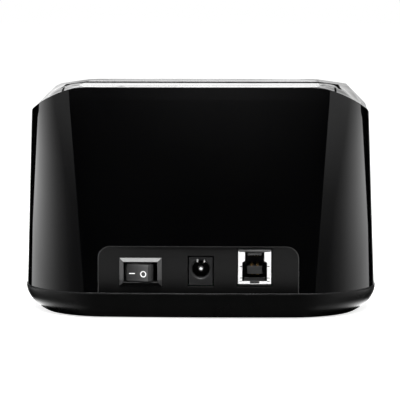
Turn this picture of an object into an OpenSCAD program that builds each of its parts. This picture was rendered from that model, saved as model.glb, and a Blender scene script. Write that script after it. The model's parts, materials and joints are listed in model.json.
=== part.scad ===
// Hard drive docking station: a glossy upper housing on a tucked-in base,
// an open-topped bay with a sprung dust flap, and a rear panel of ports.
// Millimetres. +Z is up, the front faces -Y, the ports face +Y.
// The origin is on the desk, under the middle of the housing.

/* [Housing] */
// Room between the drive bay and each side of the housing at the seam
side_room = 13.5; // [12:0.1:20]
// Depth at the seam between housing and base
body_d = 84; // [84:1:100]
// Height of the flat part of the roof
body_h = 84; // [80:1:100]
// How far each side leans in from the seam to the roof
side_lean = 3.2; // [1:0.1:4]
// How far the rear leans in from the seam to the roof
rear_lean = 2.5; // [1:0.1:4]
// How far the front leans back from the seam to the roof
front_lean = 12; // [4:0.5:14]
// Radius of the upright corners at the seam
corner_r = 29; // [20:0.5:32]
// Radius of the upright corners at the roof
corner_top_r = 18; // [14:0.5:24]
// Radius of the gentle bow of the front and rear faces
bow_r = 700; // [400:50:1500]
// Wall of the upper housing
wall = 2.4; // [2:0.1:3]
// Half width of the flat part of the roof
roof_flat = 44; // [38:0.5:46]
// How far the round of a shoulder would run past the side of the housing
shoulder_past = 1; // [0.5:0.1:4]
// Room between the break of the front shoulders and each side at the seam
break_room = 9.5; // [8:0.1:12]
// How far the break of the front shoulders lies below the flat roof
break_drop = 1.5; // [0.5:0.1:3]

/* [Base] */
// Height of the base, up to the seam
base_h = 9.5; // [9:0.1:12]
// Reach of the curve that tucks the base in at its two sides
tuck_side = 18; // [10:0.5:20]
// Reach of the curve that tucks the base in at its front and rear
tuck_ends = 4; // [2:0.5:10]
// Height of the ellipse that the tuck is part of
tuck_rise = 11; // [10:0.5:14]
// How far the base stands proud of the housing at the seam
seam_step = 0.3; // [0.1:0.05:0.5]
// Floor of the base
floor_t = 2.2; // [1.8:0.1:3]
// How far the rubber feet stand below the base
foot_drop = 0.6; // [0.5:0.1:2]
// Radius of a rubber foot
foot_r = 5; // [3:0.5:7]

/* [Drive bay] */
// Clear width of the bay, for a 101.6 mm wide drive
bay_w = 103; // [102.6:0.1:105]
// Clear depth of the bay, for a 26.1 mm thick drive
bay_d = 27.2; // [26.8:0.1:30]
// Open slot in front of the flap, for a thin drive
slot_d = 11; // [10:0.5:14]
// Wall of the drive guide
guide_t = 1.8; // [1.4:0.1:2.4]
// Room between the drive bay and the rear of the housing at the seam
bay_back = 20.8; // [20:0.1:24]
// Thickness of the flap
flap_t = 2.2; // [1.8:0.1:3]
// Gap all round the flap
flap_gap = 0.8; // [0.5:0.1:1.2]
// Radius of the flap's hinge rod
rod_r = 1; // [0.8:0.1:1.2]
// Radial clearance of parts that turn on a rod or trunnion
turn_gap = 0.05; // [0.02:0.01:0.1]

/* [Ports] */
// Half width of the recessed port panel
panel_half_w = 36.4; // [34:0.2:38]
// Height of the port panel above the seam
panel_h = 17.1; // [16:0.1:20]
// Corner radius at the top of the port panel
panel_r = 4.6; // [2:0.2:6]
// How far the port panel lies in from the rear of the housing at the seam
panel_recess = 1.6; // [1.4:0.1:2.4]
// Thickness of the port panel
panel_t = 2; // [1.6:0.1:2.6]
// Switch position across the panel
switch_x = 20.9; // [19:0.1:22]
// Power jack position across the panel
jack_x = -0.9; // [-3:0.1:3]
// Data port position across the panel
data_x = -20.4; // [-22:0.1:-19]
// Gap between a port and the edge of its cut-out
port_gap = 0.4; // [0.2:0.05:0.5]

/* [Switch] */
// Outer width of the switch bezel
bezel_w = 15.4; // [14:0.1:16]
// Outer height of the switch bezel
bezel_h = 10.4; // [9.5:0.1:11]
// How far the bezel stands out of the panel
bezel_rise = 1.3; // [0.8:0.1:2]
// Width of the bezel's sloping border
bezel_border = 1.6; // [1.2:0.1:2]
// Tilt of the rocker each side of level
rocker_tilt = 13; // [10:0.5:14]
// Slope of each half of the rocker's face down to its middle
rocker_dish = 4; // [2:0.5:12]

/* [Circuit board] */
// Upper face of the circuit board
board_top = 12.3; // [12:0.1:14]
// Thickness of the circuit board
board_t = 1.6; // [1.2:0.1:2]

/* [Hidden] */

$fn = 48;
eps = 0.01;
body_w = bay_w + 2 * side_room;
shoulder_r = body_w / 2 + shoulder_past - roof_flat;
panel_y = body_d / 2 - panel_recess;
corner_steps = 12;
shoulder_steps = 12;
bow_steps = 6;
fit = 0.3;

gloss_black = [0.03, 0.03, 0.035];
satin_black = [0.10, 0.10, 0.11];
mould_black = [0.07, 0.07, 0.075];
nickel = [0.78, 0.78, 0.76];
steel = [0.62, 0.63, 0.65];
gold = [0.80, 0.60, 0.25];
board_green = [0.05, 0.25, 0.14];

// Housing sections

function lerp(a, b, t) = a + (b - a) * t;

// Share of the way from the seam to the roof
function rise(z) = (z - base_h) / (body_h - base_h);

function arc(centre, r, from, to, steps) =
    [for (i = [0 : steps]) centre + r * [cos(lerp(from, to, i / steps)), sin(lerp(from, to, i / steps))]];

// Rounded outline whose front and rear faces bow gently outwards
function outline(half_w, rear, front, r) =
    let (cx = half_w - r,
         reach = sqrt(pow(bow_r - r, 2) - cx * cx),
         turn = asin(cx / (bow_r - r)),
         rear_c = rear - bow_r + reach,
         front_c = front + bow_r - reach)
    concat(
        arc([cx, rear_c], r, 0, 90 - turn, corner_steps),
        [for (i = [1 : bow_steps - 1])
            let (a = lerp(90 - turn, 90 + turn, i / bow_steps)) [bow_r * cos(a), rear - bow_r + bow_r * sin(a)]],
        arc([-cx, rear_c], r, 90 + turn, 180, corner_steps),
        arc([-cx, front_c], r, 180, 270 - turn, corner_steps),
        [for (i = [1 : bow_steps - 1])
            let (a = lerp(270 - turn, 270 + turn, i / bow_steps)) [bow_r * cos(a), front + bow_r + bow_r * sin(a)]],
        arc([cx, front_c], r, 270 + turn, 360, corner_steps));

// Outline of the housing at height z, drawn in by inset
function housing_outline(z, inset) =
    outline(body_w / 2 - side_lean * rise(z) - inset,
            body_d / 2 - rear_lean * rise(z) - inset,
            -front_reach() + front_lean * rise(z) + inset,
            lerp(corner_r, corner_top_r, rise(z)) - inset);

// The front reaches as far from the origin as the rocker's raised end does to the rear
function front_reach() = max(body_d / 2, rocker_end_y() - seam_step);

function rocker_end_y() =
    rocker_pivot_y + rocker_reach * cos(rocker_tilt) + (rocker_w / 2 - rocker_facet) * sin(rocker_tilt);

function at_height(points, z) = [for (p = points) [p[0], p[1], z]];

// Solid through a stack of rings that have equally many points
module loft(rings) {
    n = len(rings[0]);
    top = len(rings) - 1;
    polyhedron(
        points = [for (ring = rings) each ring],
        faces = concat(
            [[for (i = [0 : n - 1]) i]],
            [[for (i = [0 : n - 1]) top * n + n - 1 - i]],
            [for (k = [0 : top - 1], i = [0 : n - 1], half = [0 : 1])
                let (a = k * n + i, b = k * n + (i + 1) % n)
                half == 0 ? [a, a + n, b] : [b, a + n, b + n]]));
}

// Housing without its roof, drawn in by inset, from height low upwards
module housing_block(inset, low) {
    high = body_h + 4;
    loft([at_height(housing_outline(low, inset), low), at_height(housing_outline(high, inset), high)]);
}

// Everything below the roof line, in the XZ plane
module roof_profile(drop) {
    translate([-roof_flat, 0]) square([2 * roof_flat, body_h - drop]);
    for (side = [-1, 1]) translate([side * roof_flat, body_h - shoulder_r]) circle(shoulder_r - drop, $fn = 96);
    reach = roof_flat + shoulder_r - drop;
    translate([-reach, 0]) square([2 * reach, body_h - shoulder_r]);
}

// Right half of the shoulder near the rear, round, from the side up to the flat roof
function rear_shoulder() =
    [for (p = arc([roof_flat, body_h - shoulder_r], shoulder_r, 0, 90, shoulder_steps)) p];

// The same near the front, two flats that meet at the break
function front_shoulder() =
    let (outer = roof_flat + shoulder_r,
         knee = [body_w / 2 - break_room, body_h - break_drop],
         foot = [outer, knee[1] - (outer - knee[0])],
         half = shoulder_steps / 2)
    [for (i = [0 : shoulder_steps])
        i <= half ? lerp(foot, knee, i / half) : lerp(knee, [roof_flat, body_h], (i - half) / half)];

// Upright section through the roof at y, closed below the desk
function roof_section(shoulder, y) =
    let (n = len(shoulder) - 1)
    concat(
        [[-shoulder[0][0], y, -1], [shoulder[0][0], y, -1]],
        [for (p = shoulder) [p[0], y, p[1]]],
        [for (i = [0 : n]) [-shoulder[n - i][0], y, shoulder[n - i][1]]]);

// Everything below the roof: round shoulders at the rear turn into broken ones at the front
module roof_block() {
    loft([
        roof_section(rear_shoulder(), body_d), roof_section(rear_shoulder(), body_d / 2 - rear_lean - 9.5),
        roof_section(front_shoulder(), bay_front_y + 1), roof_section(front_shoulder(), -body_d)]);
}

// Extrudes an XZ drawing along Y, from front to rear
module along_y(front, rear) {
    translate([0, rear, 0]) rotate([90, 0, 0]) linear_extrude(rear - front) children();
}

// Extrudes a YZ drawing along X, from left to right
module along_x(left, right) {
    translate([left, 0, 0]) rotate([90, 0, 90]) linear_extrude(right - left) children();
}

// Band just under the roof line, t thick
module roof_band(t) {
    difference() {
        roof_profile(0);
        translate([0, -t]) roof_profile(0);
    }
}

module box(low, high) {
    translate(low) cube(high - low);
}

module rod_x(r, left, right) {
    translate([left, 0, 0]) rotate([0, 90, 0]) cylinder(r = r, h = right - left);
}

// Drive bay positions, all from the bay's own sizes

bay_rear_y = body_d / 2 - bay_back;
bay_front_y = bay_rear_y - bay_d;
flap_front_y = bay_front_y + slot_d;
// The flap's top face folds down to this side of the bay's rear face
flap_fold_gap = 0.3;
rod_z = body_h - 4.6;
rod_y = bay_rear_y + (body_h - rod_z) - flap_fold_gap;
flap_rear_y = rod_y + 0.4;
cover_front_y = flap_rear_y + flap_gap;
recess_y = rod_y + 2.4;
shell_rear_in = body_d / 2 - rear_lean - wall;
cover_rear_y = shell_rear_in - fit;
opening_rear_y = shell_rear_in;
opening_half_w = bay_w / 2;
flap_half_w = opening_half_w - flap_gap;
knuckle_r = 1.8;
knuckle_len = 10;
knuckle_x = [-34, 0, 34];
ear_x = [-41.5, 41.5];
ear_w = 3;
ear_r = 1.85;
spring_x = [-17, 17];
guide_floor_z = 17.2;
guide_floor_t = 2;
fold_z = rod_z - (rod_y - flap_front_y) - 2;

// Ports and board positions

jack_w = 8.6;
jack_h = 10.4;
usb_w = 11.9;
usb_h = 13.1;
switch_z = 17.2;
board_bottom = board_top - board_t;
board_half_w = 43;
board_d = 61;
board_back = 7;
board_rear_y = body_d / 2 - board_back;
board_front_y = board_rear_y - board_d;
stand_inset = 5;
stand_x = board_half_w - stand_inset;
stand_y = [board_front_y + stand_inset, board_rear_y - 21];
post_r = 3.2;
post_gap = 0.5;
boss_r = post_r + 0.8;
post_x = board_half_w + boss_r + 1;
post_y = [-(bay_rear_y + guide_t + post_r + post_gap), bay_rear_y + guide_t + post_r + post_gap];
post_top = 42;
screw_r = 1.5;
screw_head_r = 2.7;
lug_r = 2.4;
lug_x = opening_half_w + guide_t + lug_r;
lug_y = [bay_front_y + 9, bay_rear_y - 1.2];
lug_z = body_h - 22;
lug_t = 2.4;
sata_x = 20.7;
sata_y = bay_front_y + 5.4;
led_x = 28.2;
led_y = (cover_front_y + cover_rear_y) / 2;
led_r = 1.5;

// Base tray: a shallow dish whose sides curve in towards the desk

// Share of its reach that the tuck has taken at height z
function tuck(z) = 1 - sqrt(1 - pow((base_h - min(z, base_h)) / tuck_rise, 2));

function base_outline(z, inset) =
    outline(body_w / 2 - tuck_side * tuck(z) - inset,
            body_d / 2 - tuck_ends * tuck(z) - inset,
            -front_reach() + tuck_ends * tuck(z) + inset,
            corner_r - (tuck_side + tuck_ends) / 2 * tuck(z) - inset);

module base_block(inset, heights) {
    loft([for (z = heights) at_height(base_outline(z, inset), z)]);
}

module base_tray() {
    steps = 6;
    heights = [for (i = [0 : steps]) lerp(foot_drop, base_h, pow(i / steps, 1.5))];
    inner = [for (i = [0 : 3]) lerp(foot_drop + floor_t, base_h + 1, i / 3)];
    color(satin_black) difference() {
        union() {
            difference() {
                base_block(-seam_step, heights);
                base_block(wall, inner);
            }
            for (x = [-post_x, post_x], y = post_y)
                translate([x, y, foot_drop + eps]) cylinder(r = boss_r, h = base_h - foot_drop - eps);
            for (x = [-stand_x, stand_x], y = stand_y)
                translate([x, y, foot_drop + eps]) cylinder(r = 3, h = board_bottom - foot_drop - eps);
        }
        for (x = [-post_x, post_x], y = post_y) {
            translate([x, y, -1]) cylinder(r = screw_r + 0.2, h = base_h + 2);
            translate([x, y, -1]) cylinder(r = screw_head_r + 0.4, h = foot_drop + 5);
        }
        for (x = [-stand_x, stand_x], y = stand_y)
            translate([x, y, board_bottom - 7]) cylinder(r = 1, h = 8);
        for (x = [-foot_x(), foot_x()], y = [-foot_y(), foot_y()])
            translate([x, y, foot_drop - 1]) cylinder(r = foot_r + 0.2, h = 2);
        for (i = [-4 : 4]) translate([i * 5, 0, foot_drop - 1]) {
            box([-1, -14, 0], [1, 4, floor_t + 2]);
            for (y = [-14, 4]) translate([0, y, 0]) cylinder(r = 1, h = floor_t + 2);
        }
    }
}

function foot_x() = post_x - 13;
function foot_y() = body_d / 2 - tuck_ends - foot_r - 1.5;

module rubber_feet() {
    color([0.06, 0.06, 0.06]) for (x = [-foot_x(), foot_x()], y = [-foot_y(), foot_y()])
        translate([x, y, 0]) {
            cylinder(r1 = foot_r - 0.5, r2 = foot_r, h = 0.5);
            translate([0, 0, 0.5]) cylinder(r = foot_r, h = foot_drop + 0.5);
        }
}

// Upper shell: one glossy moulding, open below, with the bay's opening in its roof

module panel_shape(grow) {
    half = panel_half_w + grow;
    top = base_h + panel_h + grow;
    r = panel_r + grow;
    translate([-half, base_h - 2]) square([2 * half, top - r - base_h + 2]);
    translate([-half + r, base_h - 2]) square([2 * (half - r), top - base_h + 2]);
    for (side = [-1, 1]) translate([side * (half - r), top - r]) circle(r);
}

module upper_shell() {
    color(gloss_black) difference() {
        union() {
            difference() {
                intersection() {
                    housing_block(0, base_h);
                    roof_block();
                }
                intersection() {
                    housing_block(wall, base_h - 1);
                    along_y(-body_d, body_d) roof_profile(wall);
                }
            }
            shell_posts();
            guide_posts();
        }
        bay_opening(0);
        along_y(body_d / 2 - 12, body_d) panel_shape(0.15);
        for (x = [-post_x, post_x], y = post_y)
            translate([x, y, base_h - 1]) cylinder(r = screw_r - 0.3, h = 14);
        for (x = [-lug_x, lug_x], y = lug_y)
            translate([x, y, lug_z + lug_t - 1]) cylinder(r = 1, h = 8);
    }
}

// Opening in the roof, whose rear corners follow the wall of the shell
module bay_opening(gap) {
    intersection() {
        box([-opening_half_w + gap, bay_front_y, body_h - 12], [opening_half_w - gap, opening_rear_y, body_h + 3]);
        housing_block(wall + gap, base_h);
    }
}

// Posts that take the case screws, tied to the side walls by ribs
module shell_posts() {
    for (side = [-1, 1], y = post_y) intersection() {
        union() {
            translate([side * post_x, y, base_h]) cylinder(r = post_r, h = post_top - base_h);
            box([side > 0 ? post_x : -body_w / 2, y - 0.8, base_h],
                [side > 0 ? body_w / 2 : -post_x, y + 0.8, post_top]);
        }
        housing_block(wall / 2, base_h - 1);
    }
}

// Short posts under the shoulders that take the guide's screws
module guide_posts() {
    for (x = [-lug_x, lug_x], y = lug_y) intersection() {
        translate([x, y, lug_z + lug_t]) cylinder(r = lug_r, h = body_h - lug_z);
        along_y(-body_d, body_d) roof_profile(wall / 2);
    }
}

// Port panel: a matt plate let into the rear of the shell

module port_panel() {
    color(satin_black) difference() {
        union() {
            along_y(panel_y - panel_t, panel_y) intersection() {
                panel_shape(0);
                translate([-body_w, base_h]) square([2 * body_w, panel_h + 1]);
            }
            along_y(panel_y - panel_t - 1.2, panel_y - panel_t) intersection() {
                panel_shape(-2.6);
                translate([-body_w, board_top + 0.4]) square([2 * body_w, panel_h]);
            }
        }
        along_y(panel_y - 6, panel_y + 1) {
            rect_at(switch_x, switch_z, switch_body_w() + 2 * 0.15, switch_body_h() + 2 * 0.15);
            rect_at(jack_x, board_top + jack_h / 2, jack_w + 2 * port_gap, jack_h + 2 * port_gap);
            rect_at(data_x, board_top + usb_h / 2, usb_w + 2 * port_gap, usb_h + 2 * port_gap);
        }
    }
}

module rect_at(x, z, w, h) {
    translate([x - w / 2, z - h / 2]) square([w, h]);
}

// Drive guide: the chute that leads a drive down to the socket

module guide_section(half_w, front, rear, low, high) {
    box([-half_w, front, low], [half_w, rear, high]);
}

module drive_guide() {
    out_w = opening_half_w + guide_t;
    out_front = bay_front_y - guide_t;
    out_rear = bay_rear_y + guide_t;
    ramp = 6;
    color(mould_black) difference() {
        union() {
            intersection() {
                union() {
                    guide_section(out_w, out_front, out_rear, guide_floor_z - guide_floor_t, body_h);
                    along_x(-out_w, out_w) polygon([
                        [bay_rear_y, fold_z - ramp], [out_rear, fold_z - ramp - guide_t],
                        [recess_y + guide_t, fold_z - guide_t], [recess_y + guide_t, body_h],
                        [bay_rear_y, body_h]]);
                }
                along_y(-body_d, body_d) roof_profile(wall + fit);
            }
            for (side = [-1, 1], y = lug_y) guide_lug(side, y);
        }
        difference() {
            union() {
                guide_section(opening_half_w, bay_front_y, bay_rear_y, guide_floor_z, body_h);
                along_x(-opening_half_w, opening_half_w) polygon([
                    [bay_rear_y - 1, fold_z - ramp - 1], [bay_rear_y, fold_z - ramp], [recess_y, fold_z],
                    [recess_y, body_h], [bay_rear_y - 1, body_h]]);
            }
            hinge_ears();
        }
        translate([sata_x, sata_y, 0])
            box([-sata_half_w() - fit, -3.2 - fit, guide_floor_z - 5], [sata_half_w() + fit, 3.2 + fit, guide_floor_z + 1]);
        translate([0, rod_y, rod_z]) rod_x(rod_r + 0.02, -60, 60);
        for (x = [-lug_x, lug_x], y = lug_y)
            translate([x, y, lug_z - 1]) cylinder(r = 1.4, h = lug_t + 2);
        for (x = [-40 : 20 : 40]) box([x - 5, bay_rear_y - 1, 30], [x + 5, out_rear + 1, 46]);
    }
}

// Ears that carry the hinge rod, standing on the rear wall of the guide
module hinge_ears() {
    for (x = ear_x) {
        along_x(x - ear_w / 2, x + ear_w / 2) {
            translate([rod_y, rod_z]) circle(ear_r);
            polygon([[rod_y - ear_r, rod_z], [rod_y + ear_r, rod_z], [recess_y + guide_t / 2, rod_z],
                [recess_y + guide_t / 2, rod_z - 8], [recess_y, rod_z - 8]]);
        }
    }
}

module guide_lug(side, y) {
    inner = opening_half_w + guide_t / 2;
    translate([side * lug_x, y, lug_z]) cylinder(r = lug_r, h = lug_t);
    box([side > 0 ? inner : -lug_x, y - lug_r, lug_z], [side > 0 ? lug_x : -inner, y + lug_r, lug_z + lug_t]);
}

// Hinge cover: the fixed strip behind the flap, with the lamp's window in it

module hinge_cover() {
    skirt_t = 1.4;
    color(gloss_black) difference() {
        union() {
            intersection() {
                along_y(cover_front_y, body_d) roof_band(flap_t);
                bay_opening(fit);
            }
            for (x = [-30, 6])
                box([x - 6, recess_y + guide_t + 0.1, body_h - 16],
                    [x + 6, recess_y + guide_t + 0.1 + skirt_t, body_h - flap_t + 0.5]);
        }
        translate([led_x, led_y, body_h - 6]) cylinder(r = led_r + 0.05, h = 8);
    }
}

// Flap: a plate that follows the roof and swings down into the bay

module flap() {
    color(gloss_black) difference() {
        union() {
            along_y(flap_front_y, flap_rear_y) intersection() {
                roof_band(flap_t);
                rect_at(0, body_h, 2 * flap_half_w, 20);
            }
            for (x = knuckle_x) along_x(x - knuckle_len / 2, x + knuckle_len / 2) {
                translate([rod_y, rod_z]) circle(knuckle_r);
                polygon([[rod_y - knuckle_r, rod_z], [rod_y, rod_z], [rod_y + 0.3, body_h - flap_t + 0.5],
                    [rod_y - 3, body_h - flap_t + 0.5]]);
            }
            for (x = [-25.5, 25.5])
                box([x - 0.7, flap_front_y + 3, body_h - flap_t - 1.4], [x + 0.7, rod_y - 3, body_h - flap_t + 0.5]);
        }
        translate([0, rod_y, rod_z]) rod_x(rod_r + turn_gap, -60, 60);
    }
}

module flap_rod() {
    color(steel) translate([0, rod_y, rod_z]) rod_x(rod_r, ear_x[0] - ear_w / 2 - 0.5, ear_x[1] + ear_w / 2 + 0.5);
}

// Flap springs: a coil round the rod, one leg under the flap and one down the guide's wall

spring_wire = 0.5;
spring_r = 1.85;
spring_turns = 6.25;
spring_pitch = 1.1;
spring_leg = 8;

function spring_path(x) =
    let (steps = 10,
         count = round(spring_turns * steps),
         start = x - spring_turns * spring_pitch / 2)
    concat(
        [for (d = [spring_leg, spring_leg / 2]) [start, rod_y - d, rod_z + spring_r]],
        [for (i = [0 : count])
            let (a = 90 - 360 * i / steps, t = i / steps)
            [start + spring_pitch * t, rod_y + spring_r * cos(a), rod_z + spring_r * sin(a)]],
        [for (d = [spring_leg / 2, spring_leg])
            [start + spring_turns * spring_pitch, rod_y + spring_r, rod_z - d]]);

// Least clear gap between one curl of the spring and another
function spring_self_gap(path) =
    min([for (i = [0 : len(path) - 8], j = [i + 7 : len(path) - 1]) norm(path[i] - path[j])]) - spring_wire;

function unit(v) = v / norm(v);

// Rings of a tube along a path, square to the path at each point
function tube_rings(path, r, sides) =
    [for (i = [0 : len(path) - 1])
        let (along = unit(path[min(i + 1, len(path) - 1)] - path[max(i - 1, 0)]),
             guess = abs(along[0]) < 0.8 ? [1, 0, 0] : [0, 0, 1],
             u = unit(cross(along, guess)),
             v = cross(along, u))
        [for (k = [0 : sides - 1]) path[i] + r * (u * cos(360 * k / sides) + v * sin(360 * k / sides))]];

module tube(path, r, sides) {
    mirrored = [for (ring = tube_rings(path, r, sides)) [for (k = [0 : sides - 1]) ring[sides - 1 - k]]];
    loft(mirrored);
}

module flap_springs() {
    echo(least_spring_gap_mm = spring_self_gap(spring_path(spring_x[0])));
    color(steel) for (x = spring_x) tube(spring_path(x), spring_wire / 2, 6);
}

// Main board and what is soldered to it

module main_board() {
    color(board_green) difference() {
        box([-board_half_w, board_front_y, board_bottom], [board_half_w, board_rear_y, board_top]);
        for (x = [-stand_x, stand_x], y = stand_y)
            translate([x, y, board_bottom - 1]) cylinder(r = 1.4, h = board_t + 2);
    }
}

function sata_half_w() = 21.4;

module sata_socket() {
    tongue_y = 1.2;
    color(mould_black) translate([sata_x, sata_y, 0]) difference() {
        union() {
            box([-sata_half_w(), -3.2, board_top], [sata_half_w(), 3.2, board_top + 5.2]);
            box([-18, -2.6, board_top], [18, 2.6, board_top + 9.4]);
            for (side = [-1, 1]) box([side * 19.7 - 1.7, -2.6, board_top], [side * 19.7 + 1.7, 2.6, board_top + 11.4]);
        }
        box([-16.6, -tongue_y, board_top + 2.6], [3.8, tongue_y, board_top + 12]);
        box([6.2, -tongue_y, board_top + 2.6], [16.6, tongue_y, board_top + 12]);
    }
}

module sata_contacts() {
    pitch = 1.27;
    color(gold) translate([sata_x, sata_y, board_top]) {
        for (i = [0 : 14]) box([-15.4 + i * pitch - 0.3, 0.9, 2.6], [-15.4 + i * pitch + 0.3, 1.2, 8]);
        for (i = [0 : 6]) box([7.6 + i * pitch - 0.3, 0.9, 2.6], [7.6 + i * pitch + 0.3, 1.2, 8]);
    }
}

// Data port: a folded metal can round a moulded tongue

usb_depth = 17;
usb_skin = 0.4;
tongue_z = 5.5;
tongue_t = 2.85;
upper_tongue_z = 11.4;

function usb_front_y() = panel_y + 0.1;

// Opening of the data port, wide below and narrow above
module usb_mouth(top) {
    wide = 4.5;
    slim = 3.5;
    polygon([[-wide, 1.6], [wide, 1.6], [wide, 8.4], [slim, 9.05], [slim, top],
        [-slim, top], [-slim, 9.05], [-wide, 8.4]]);
}

module usb_shell() {
    rear = usb_front_y() - usb_depth;
    color(nickel) translate([data_x, 0, board_top]) {
        difference() {
            along_y(rear, usb_front_y()) rect_at(0, usb_h / 2, usb_w, usb_h);
            along_y(rear - 1, usb_front_y() - usb_skin) rect_at(0, usb_h / 2, usb_w - 2 * usb_skin, usb_h - 2 * usb_skin);
            along_y(usb_front_y() - 2, usb_front_y() + 1) {
                usb_mouth(usb_h - 0.5);
                rect_at(0, 1.25, 3.4, 0.95);
                for (side = [-1, 1]) {
                    for (z = [2.8, 7.05]) rect_at(side * 4.85, z, 1, 0.3);
                    rect_at(side * 5, 1.6, 1.1, 0.22);
                    rect_at(side * 4.5, usb_h - 0.65, 2.1, 0.3);
                }
            }
        }
    }
}

module usb_insulator() {
    rear = usb_front_y() - usb_depth;
    front = usb_front_y() - usb_skin - 0.05;
    half = usb_w / 2 - usb_skin - 0.05;
    color(mould_black) translate([data_x, 0, board_top]) {
        difference() {
            along_y(rear, front) rect_at(0, usb_h / 2, 2 * half, usb_h - 2 * usb_skin - 0.1);
            along_y(rear + 5, front + 1) usb_mouth(usb_h - 0.9);
        }
        along_y(rear + 4, front - 1.5) rect_at(0, tongue_z, 5.4, tongue_t);
        along_y(rear + 4, front - 1) rect_at(0, upper_tongue_z, 5.2, 0.95);
        along_y(rear + 4, front - 2.5) rect_at(0, 2.05, 7.6, 1.1);
    }
}

module usb_contacts() {
    rear = usb_front_y() - usb_depth;
    front = usb_front_y() - usb_skin - 0.05;
    color(gold) translate([data_x, 0, board_top]) {
        for (x = [-1, 1]) {
            along_y(rear + 5, front - 2) {
                rect_at(x, tongue_z + tongue_t / 2 + 0.15, 0.8, 0.3);
                rect_at(x, tongue_z - tongue_t / 2 - 0.15, 0.8, 0.3);
            }
            along_y(front - 3.4, front - 2.4) rect_at(x, tongue_z + tongue_t / 2 + 0.5, 0.8, 0.8);
        }
        for (i = [-2 : 2]) along_y(rear + 5, front - 1.5) rect_at(i, upper_tongue_z - 0.475 - 0.125, 0.5, 0.25);
    }
}

// Power jack: moulded block, centre pin, and a leaf that grips the plug's sleeve

jack_depth = 14;
jack_bore_r = 3.15;
jack_pin_r = 1.05;
jack_bore_z = board_top + 5.9;

function jack_front_y() = panel_y - 0.5;

module jack_body() {
    rear = jack_front_y() - jack_depth;
    color(mould_black) difference() {
        along_y(rear, jack_front_y()) rect_at(jack_x, board_top + jack_h / 2, jack_w, jack_h);
        translate([jack_x, jack_front_y() + 1, jack_bore_z]) rotate([90, 0, 0]) cylinder(r = jack_bore_r, h = 11);
        translate([jack_x, jack_front_y() + eps, jack_bore_z]) rotate([90, 0, 0])
            cylinder(r1 = jack_bore_r + 0.5, r2 = jack_bore_r, h = 0.5);
        translate([jack_x, jack_front_y() - 9, jack_bore_z]) rotate([90, 0, 0]) cylinder(r = jack_pin_r, h = 6);
        along_y(jack_front_y() - 10, jack_front_y() + 1) for (side = [-1, 1])
            rect_at(jack_x + side * 1.25, jack_bore_z + 3, 0.7, 1.6);
    }
}

module jack_pin() {
    color(nickel) translate([jack_x, 0, jack_bore_z]) rotate([90, 0, 0]) translate([0, 0, -jack_front_y() + 1.6]) {
        translate([0, 0, 0.6]) cylinder(r = jack_pin_r, h = 11);
        cylinder(r1 = jack_pin_r - 0.5, r2 = jack_pin_r, h = 0.6);
    }
}

module jack_spring() {
    color(nickel) along_y(jack_front_y() - 9.8, jack_front_y() - 1.2) for (side = [-1, 1])
        rect_at(jack_x + side * 1.25, jack_bore_z + 2.85, 0.5, 1.1);
}

// Rocker switch: snap-in housing, rocker on trunnions, two blade terminals

function switch_body_w() = 13;
function switch_body_h() = 8.6;

switch_depth = 11;
rocker_w = 10.4;
rocker_h = 6.5;
rocker_facet = 1.3;
rocker_pivot_y = panel_y - 2.6;
rocker_reach = 4.4;
trunnion_r = 1.1;
terminal_len = 4;

module switch_housing() {
    open_w = bezel_w - 2 * bezel_border;
    open_h = bezel_h - 2 * bezel_border;
    pocket = 7.2;
    color(mould_black) difference() {
        union() {
            bezel_frame();
            along_y(panel_y - switch_depth, panel_y + 0.2)
                rect_at(switch_x, switch_z, switch_body_w(), switch_body_h());
        }
        along_y(panel_y - pocket, panel_y + bezel_rise + 1) rect_at(switch_x, switch_z, open_w, open_h);
        translate([switch_x, rocker_pivot_y, switch_z - open_h / 2 - 0.9])
            cylinder(r = trunnion_r + turn_gap, h = open_h + 1.8);
        for (x = [-3, 3]) along_y(panel_y - switch_depth - 1, panel_y - pocket + 1)
            rect_at(switch_x + x, switch_z, 0.8, 4.8);
    }
}

// Border of the bezel: a frustum whose faces slope up to the opening
module bezel_frame() {
    low = [bezel_w / 2, bezel_h / 2];
    high = low - [bezel_border, bezel_border] + [0.25, 0.25];
    corner = [[1, -1], [-1, -1], [-1, 1], [1, 1]];
    loft([
        for (ring = [[low, panel_y], [low, panel_y + 0.3], [high, panel_y + bezel_rise]])
            [for (c = corner) [switch_x + c[0] * ring[0][0], ring[1], switch_z + c[1] * ring[0][1]]]]);
}

// Rocker in the XY plane, level: two flats that meet in a shallow valley
module rocker_shape() {
    half = rocker_w / 2;
    tip = half - rocker_facet;
    valley = rocker_reach - tip * tan(rocker_dish);
    polygon([[0, valley], [tip, rocker_reach], [half - 0.35, rocker_reach - 0.9], [half, rocker_reach - 2.4],
        [half - 1.2, -1.6], [1.6, -3.2], [-1.6, -3.2], [-half + 1.2, -1.6], [-half, rocker_reach - 2.4],
        [-half + 0.35, rocker_reach - 0.9], [-tip, rocker_reach]]);
}

module switch_rocker() {
    open_h = bezel_h - 2 * bezel_border;
    color(mould_black) translate([switch_x, rocker_pivot_y, switch_z]) rotate([0, 0, -rocker_tilt]) {
        translate([0, 0, -rocker_h / 2]) linear_extrude(rocker_h) rocker_shape();
        translate([0, 0, -open_h / 2 - 0.7]) cylinder(r = trunnion_r, h = open_h + 1.4);
    }
}

module switch_terminals() {
    color(nickel) for (x = [-3, 3])
        along_y(panel_y - switch_depth - terminal_len, panel_y - 7.4) rect_at(switch_x + x, switch_z, 0.8, 4.8);
}

// Two insulated leads from the switch to the board, looping forward and down

lead_r = 0.6;

module switch_leads() {
    tip = panel_y - switch_depth - terminal_len;
    color([0.55, 0.05, 0.05]) for (x = [-3, 3]) tube([
        for (p = [[-0.1, 0], [-0.4, -0.05], [-0.8, -0.3], [-1.05, -0.7], [-1.15, -1.2], [-1.15, board_top - switch_z]])
            [switch_x + x, tip + p[0], switch_z + p[1]]], lead_r, 8);
}

// Chips and passives

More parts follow.
